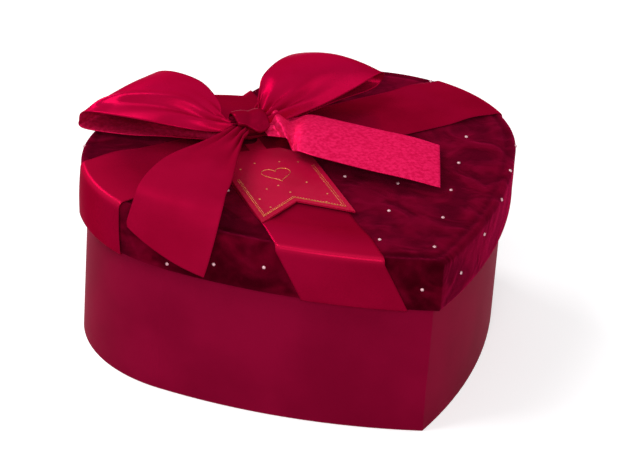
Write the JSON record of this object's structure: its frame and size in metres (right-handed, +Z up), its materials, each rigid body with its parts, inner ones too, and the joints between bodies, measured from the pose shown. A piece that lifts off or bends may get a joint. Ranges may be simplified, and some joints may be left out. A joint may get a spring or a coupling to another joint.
{
  "type": "heart-shaped gift box",
  "caption": "Heart-shaped gift box with a paper-covered base and a padded velvet lid that lifts off, dressed with satin ribbon bands, a hand-tied bow and a swallowtail card tag.",
  "frame": {"origin": "on the surface that the box stands on, midway between the centres of the heart's two lobes", "axes": "+X to the right lobe, +Y to the notch between the lobes, +Z up; the point of the heart is towards -Y"},
  "size_m": [0.2036, 0.183, 0.1119],
  "materials": {
    "greyboard": "raw grey millboard",
    "wine_paper": "matte wine-red covering paper with a fine pressed grain",
    "lining_paper": "smooth uncoated red lining paper",
    "wadding": "soft white wadding",
    "crushed_velvet": "crushed velvet with a lighter sheen where it turns",
    "pearl_dot": "small bright pearl dots",
    "satin_ribbon": "crimson satin with long soft highlights",
    "glue": "cloudy hot-melt glue",
    "tag_card": "crimson card with a fine gold border"
  },
  "bodies": {
    "base": {"base_wall_left": "greyboard", "base_wall_right": "greyboard", "base_floor_board": "greyboard", "base_wrap": "wine_paper", "base_lining_wall": "lining_paper", "base_lining_floor": "lining_paper", "base_bottom_sheet": "wine_paper"},
    "lid": {"lid_rim_left": "greyboard", "lid_rim_right": "greyboard", "lid_top_board": "greyboard", "lid_padding": "wadding", "lid_velvet": "crushed_velvet", "lid_lining_top": "lining_paper", "lid_lining_rim": "lining_paper", "velvet_dots": "pearl_dot", "cross_band": "satin_ribbon", "axis_band": "satin_ribbon", "bow_core": "satin_ribbon", "bow_knot": "satin_ribbon", "bow_glue_pad": "glue", "bow_loop_left": "satin_ribbon", "bow_loop_right": "satin_ribbon", "bow_tail_left": "satin_ribbon", "bow_tail_right": "satin_ribbon", "tag_tab": "tag_card"},
    "tag": {"tag_card": "tag_card"}
  },
  "joints": [
    {"name": "lid_lift", "type": "slide", "parent": "base", "child": "lid", "axis": [0, 0, 1], "range_m": [0, 0.06]},
    {"name": "tag_lift", "type": "hinge", "parent": "lid", "child": "tag", "pos_m": [-0.02207, 0.00009, 0.0866], "axis": [-0.9848, 0.1736, 0], "range_deg": [0, 10]}
  ]
}
